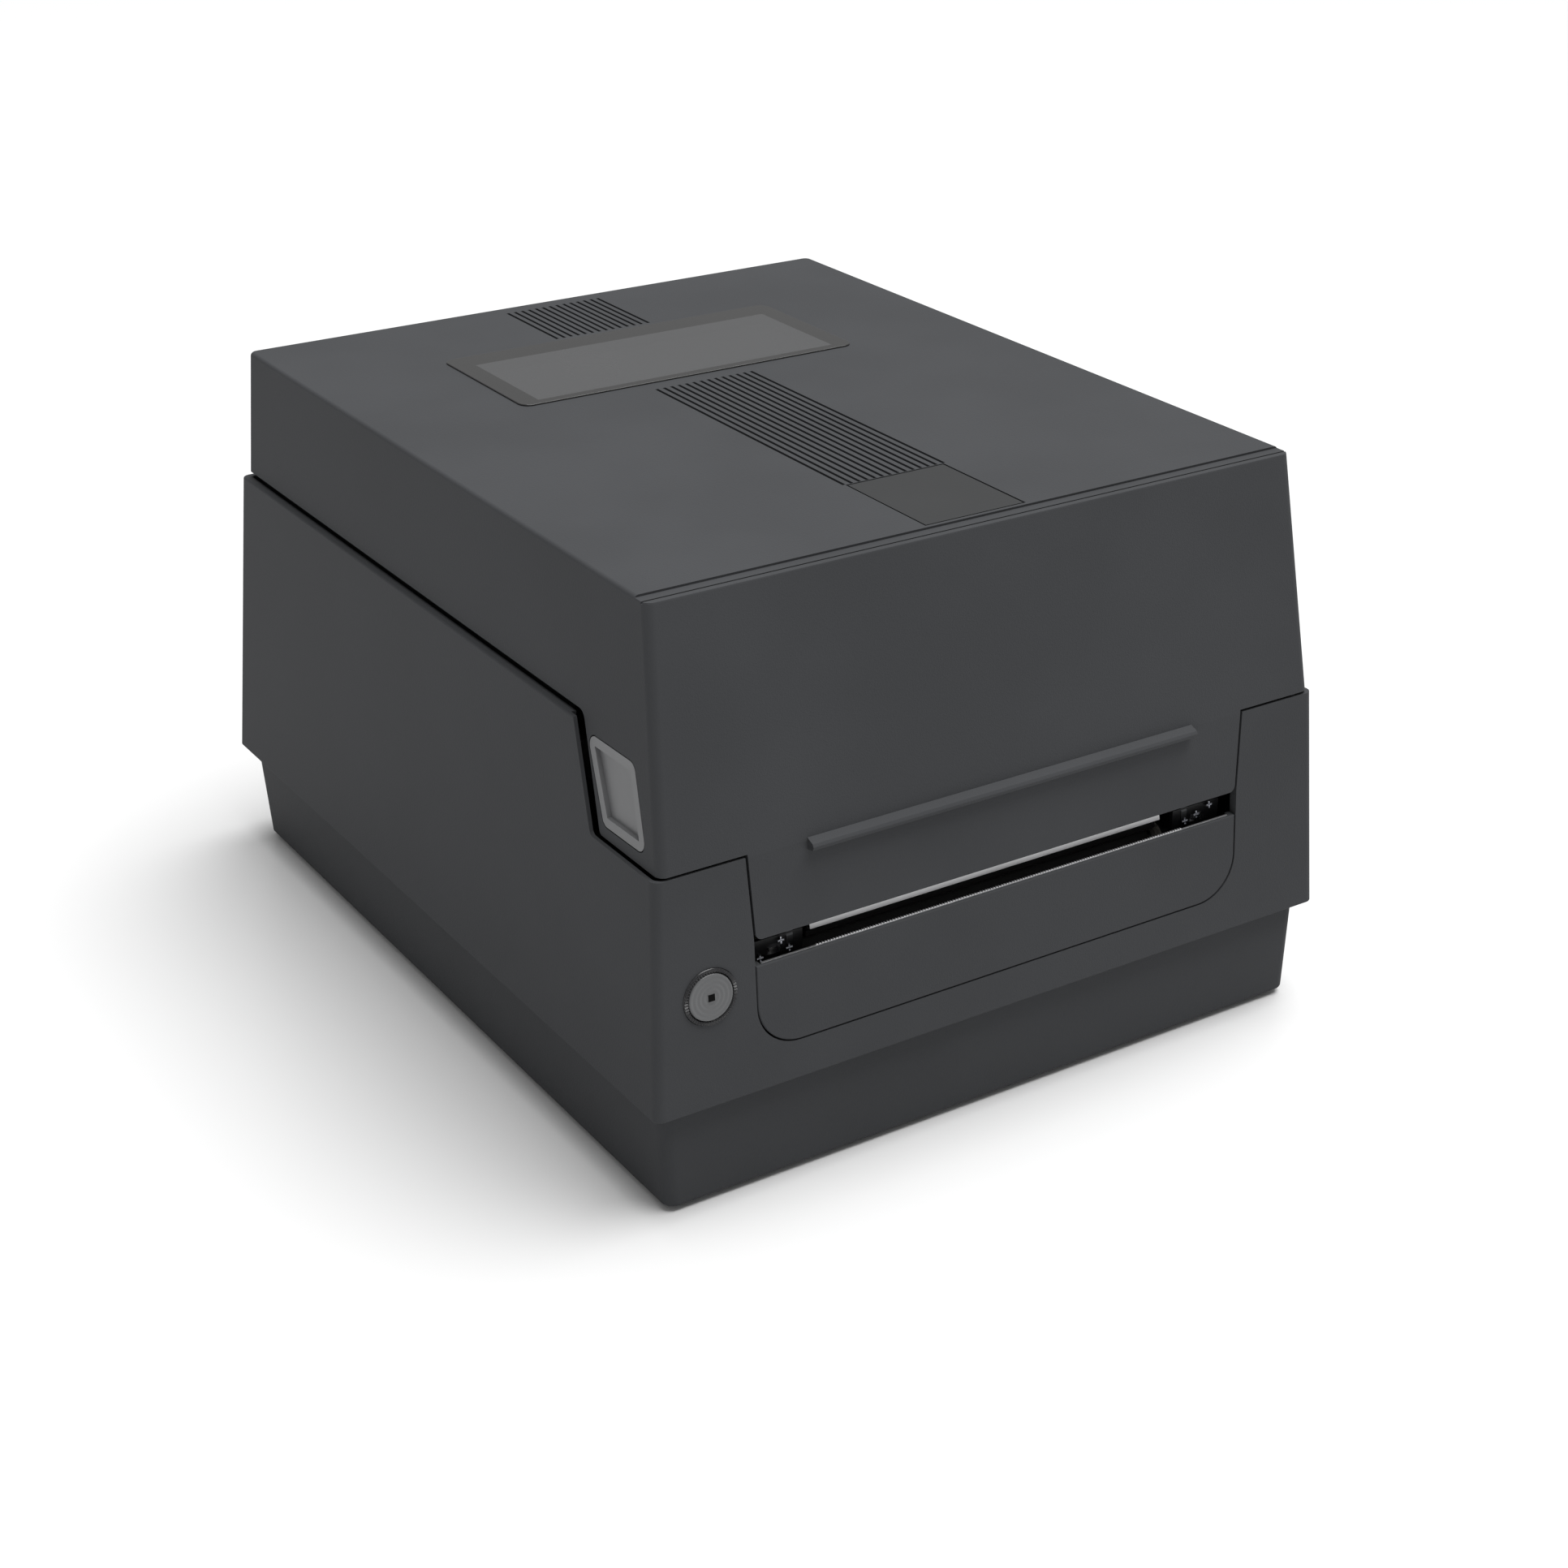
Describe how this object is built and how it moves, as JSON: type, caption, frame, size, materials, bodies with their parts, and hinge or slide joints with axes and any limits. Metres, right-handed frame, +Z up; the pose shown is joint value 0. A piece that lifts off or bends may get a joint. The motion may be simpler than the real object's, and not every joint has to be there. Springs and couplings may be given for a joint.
{
  "type": "label printer",
  "caption": "Desktop thermal-transfer label printer with a rear-hinged clamshell lid, smoked window, front label slot, feed button and side release tabs.",
  "frame": {"origin": "middle of the underside, on the surface that the rubber feet stand on", "axes": "+X the printer's right side seen from the front, -Y the front with the label slot, +Z up"},
  "size_m": [0.226, 0.277, 0.1695],
  "materials": {
    "case_plastic": "fine moulded texture, dark grey",
    "base_plastic": "fine moulded texture, dark grey",
    "lid_plastic": "fine moulded texture, dark grey",
    "inner_plastic": "smooth black moulding",
    "rubber": "matt",
    "zinc_screws": "bright zinc",
    "blade_steel": "bright stainless strip",
    "shaft_steel": "ground steel",
    "frame_steel": "pressed zinc-plated sheet",
    "white_plastic": "natural acetal",
    "brass": "cut brass",
    "platen_rubber": "ground rubber",
    "motor_can": "black can, steel ends",
    "button_ring": "knurled, glossy",
    "button_cap": "satin grey, turned rings",
    "circuit_board": "green solder mask",
    "chip_black": "moulded chips",
    "switch_black": "black",
    "port_metal": "tinned shells",
    "smoked_window": "smoked clear plastic",
    "name_plate": "plain satin plate",
    "release_plastic": "lighter grey, smooth",
    "spindle_plastic": "black ribbed",
    "head_aluminium": "extruded heat sink",
    "ceramic_board": "glazed ceramic",
    "holder_plastic": "blue grey touch points",
    "sensor_plastic": "black"
  },
  "bodies": {
    "base": {"bottom_case": "base_plastic", "rubber_feet": "rubber", "case_screws": "zinc_screws", "body_case": "case_plastic", "front_bezel": "case_plastic", "tear_blade": "blade_steel", "media_bay": "inner_plastic", "sensor_rail": "shaft_steel", "pinion_stud": "shaft_steel", "platen_frame": "frame_steel", "platen_bushings": "white_plastic", "gear_plate": "frame_steel", "idler_stud": "shaft_steel", "stepper_motor": "motor_can", "striker_plates": "frame_steel", "button_ring": "button_ring", "button_board": "circuit_board", "switch_housing": "switch_black", "main_board": "circuit_board", "board_components": "chip_black", "dc_inlet": "switch_black", "usb_port": "port_metal", "lan_port": "port_metal", "serial_port": "port_metal", "board_screws": "zinc_screws", "frame_screws": "zinc_screws", "hinge_pins": "shaft_steel"},
    "lid": {"lid_shell": "lid_plastic", "lid_liner": "inner_plastic", "window_pane": "smoked_window", "name_plate": "name_plate", "latch_mounts": "frame_steel", "latch_pins": "shaft_steel", "ribbon_frame": "frame_steel", "ribbon_rods": "shaft_steel", "ribbon_motor": "motor_can", "head_springs": "shaft_steel"},
    "platen": {"platen_roller": "platen_rubber", "platen_shaft": "shaft_steel", "platen_gear": "white_plastic"},
    "idler": {"idler_gear": "white_plastic"},
    "drive_pinion": {"motor_pinion": "brass"},
    "feed_button": {"feed_button": "button_cap"},
    "power_rocker": {"power_rocker": "switch_black"},
    "roll_holder_left": {"roll_holder_left": "holder_plastic"},
    "roll_holder_right": {"roll_holder_right": "holder_plastic"},
    "holder_pinion": {"holder_pinion": "white_plastic"},
    "media_sensor": {"media_sensor": "sensor_plastic"},
    "release_left": {"release_left": "release_plastic"},
    "release_right": {"release_right": "release_plastic"},
    "latch_hook_left": {"latch_hook_left": "frame_steel"},
    "latch_hook_right": {"latch_hook_right": "frame_steel"},
    "takeup": {"takeup_spindle": "spindle_plastic", "takeup_gear": "white_plastic"},
    "ribbon_pinion": {"ribbon_pinion": "brass"},
    "supply": {"supply_spindle": "spindle_plastic"},
    "head": {"head_carriage": "head_aluminium", "print_head": "ceramic_board", "strip_plate": "blade_steel"}
  },
  "joints": [
    {"name": "lid_hinge", "type": "hinge", "parent": "base", "child": "lid", "pos_m": [0, 0.1295, 0.1285], "axis": [-1, 0, 0], "range_deg": [0, 88]},
    {"name": "platen_spin", "type": "hinge", "parent": "base", "child": "platen", "pos_m": [0, -0.1175, 0.05635], "axis": [1, 0, 0], "continuous": true},
    {"name": "idler_spin", "type": "hinge", "parent": "base", "child": "idler", "pos_m": [-0.0775, -0.09123, 0.05504], "axis": [1, 0, 0], "continuous": true},
    {"name": "drive_pinion_spin", "type": "hinge", "parent": "base", "child": "drive_pinion", "pos_m": [-0.0775, -0.07296, 0.05412], "axis": [1, 0, 0], "continuous": true},
    {"name": "feed_button_press", "type": "slide", "parent": "base", "child": "feed_button", "axis": [0, 0.9976, -0.0698], "range_m": [0, 0.001], "stiffness_N_per_m": 300},
    {"name": "power_rocker_tilt", "type": "hinge", "parent": "base", "child": "power_rocker", "pos_m": [0.084, 0.13592, 0.054], "axis": [1, 0, 0], "range_deg": [0, 18]},
    {"name": "roll_holder_left_slide", "type": "slide", "parent": "base", "child": "roll_holder_left", "axis": [1, 0, 0], "range_m": [0, 0.04]},
    {"name": "roll_holder_right_slide", "type": "slide", "parent": "base", "child": "roll_holder_right", "axis": [-1, 0, 0], "range_m": [0, 0.04]},
    {"name": "holder_pinion_spin", "type": "hinge", "parent": "base", "child": "holder_pinion", "pos_m": [0, 0.05, 0.0295], "axis": [0, 0, 1], "range_deg": [0, 460]},
    {"name": "media_sensor_slide", "type": "slide", "parent": "base", "child": "media_sensor", "axis": [1, 0, 0], "range_m": [-0.035, 0.035]},
    {"name": "release_left_press", "type": "slide", "parent": "lid", "child": "release_left", "axis": [1, 0, 0], "range_m": [0, 0.002], "stiffness_N_per_m": 600},
    {"name": "release_right_press", "type": "slide", "parent": "lid", "child": "release_right", "axis": [-1, 0, 0], "range_m": [0, 0.002], "stiffness_N_per_m": 600},
    {"name": "latch_hook_left_swing", "type": "hinge", "parent": "lid", "child": "latch_hook_left", "pos_m": [-0.098, -0.113, 0.131], "axis": [0, -1, 0], "range_deg": [0, 5]},
    {"name": "latch_hook_right_swing", "type": "hinge", "parent": "lid", "child": "latch_hook_right", "pos_m": [0.098, -0.113, 0.131], "axis": [0, 1, 0], "range_deg": [0, 5]},
    {"name": "takeup_spin", "type": "hinge", "parent": "lid", "child": "takeup", "pos_m": [0, -0.092, 0.126], "axis": [1, 0, 0], "continuous": true},
    {"name": "ribbon_pinion_spin", "type": "hinge", "parent": "lid", "child": "ribbon_pinion", "pos_m": [-0.066, -0.07462, 0.13439], "axis": [1, 0, 0], "continuous": true},
    {"name": "supply_spin", "type": "hinge", "parent": "lid", "child": "supply", "pos_m": [0, -0.048, 0.134], "axis": [1, 0, 0], "continuous": true},
    {"name": "head_pivot", "type": "hinge", "parent": "lid", "child": "head", "pos_m": [0, -0.092, 0.086], "axis": [-1, 0, 0], "range_deg": [0, 2], "stiffness_Nm_per_rad": 6, "deforming": ["head_springs"]}
  ],
  "couplings": [
    {"joint": "idler_spin", "follows": "platen_spin", "ratio": -1.1667},
    {"joint": "drive_pinion_spin", "follows": "platen_spin", "ratio": 2.3333},
    {"joint": "roll_holder_right_slide", "follows": "roll_holder_left_slide", "ratio": 1},
    {"joint": "holder_pinion_spin", "follows": "roll_holder_left_slide", "rad_per_m": 200},
    {"joint": "latch_hook_left_swing", "follows": "release_left_press", "rad_per_m": 43.478},
    {"joint": "latch_hook_right_swing", "follows": "release_right_press", "rad_per_m": 43.478},
    {"joint": "ribbon_pinion_spin", "follows": "takeup_spin", "ratio": -2.8}
  ]
}
